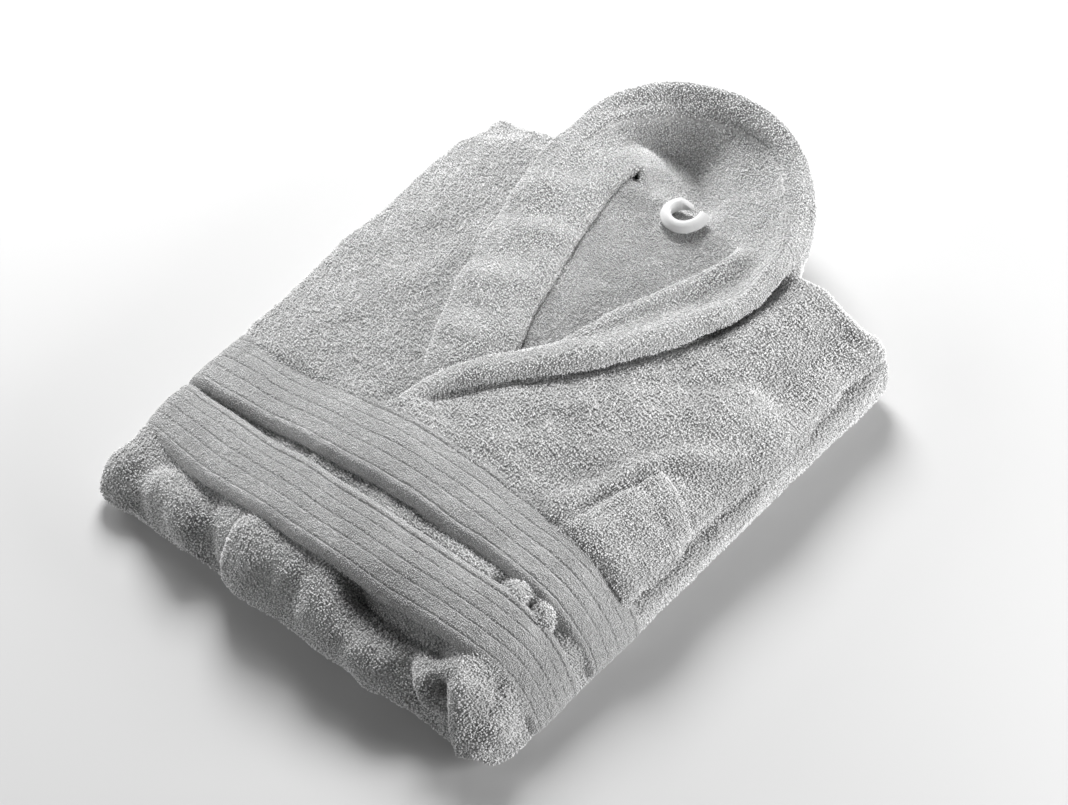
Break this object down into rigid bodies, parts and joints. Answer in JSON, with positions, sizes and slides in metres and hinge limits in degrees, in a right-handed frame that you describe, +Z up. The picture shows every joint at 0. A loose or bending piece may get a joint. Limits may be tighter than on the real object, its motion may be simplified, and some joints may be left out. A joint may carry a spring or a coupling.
{
  "type": "bathrobe",
  "caption": "Hooded terry bathrobe folded into a flat bundle, front up, with an open hood, a hanging loop at the neck and a belt wound round it.",
  "frame": {"origin": "bottom centre of the whole folded object's box, on the surface it lies on", "axes": "+X to the right seen from the belt end, +Y from the foot fold towards the hood, +Z up from the surface"},
  "size_m": [0.3597, 0.5, 0.0949],
  "materials": {
    "terry_robe": "fluffy loop-pile terry",
    "terry_inside": "short flat-pile terry",
    "terry_belt": "short dense terry with lengthwise stitched channels",
    "loop_tape": "smooth soft cotton tape"
  },
  "bodies": {
    "root": {"front_panel_left": "terry_robe", "front_panel_right": "terry_robe", "back_panel": "terry_robe", "back_neck_yoke": "terry_inside", "sleeve_left": "terry_robe", "sleeve_right": "terry_robe", "cuff_left": "terry_robe", "cuff_right": "terry_robe", "skirt_fold": "terry_robe", "skirt_hem": "terry_robe", "pocket_left": "terry_robe", "pocket_right": "terry_robe", "belt_loop_left": "terry_robe", "belt_loop_right": "terry_robe", "lapel_left": "terry_robe", "lapel_right": "terry_robe"},
    "hood": {"hood_left": "terry_robe", "hood_right": "terry_robe", "hood_hem": "terry_robe"},
    "hanging_loop": {"hanging_loop": "loop_tape"},
    "belt": {"belt_upper_wrap": "terry_belt", "belt_lower_wrap": "terry_belt", "belt_crossover": "terry_belt", "belt_end_upper": "terry_belt", "belt_end_lower": "terry_belt"}
  },
  "joints": [
    {"name": "hood_lift", "type": "hinge", "parent": "root", "child": "hood", "pos_m": [0, 0.173, 0.075], "axis": [1, 0, 0], "range_deg": [0, 35]},
    {"name": "loop_flip", "type": "hinge", "parent": "root", "child": "hanging_loop", "pos_m": [0.005, 0.1655, 0.07], "axis": [-1, 0, 0], "range_deg": [0, 100]},
    {"name": "belt_slide", "type": "slide", "parent": "root", "child": "belt", "axis": [0, -1, 0], "range_m": [0, 0.03]}
  ]
}
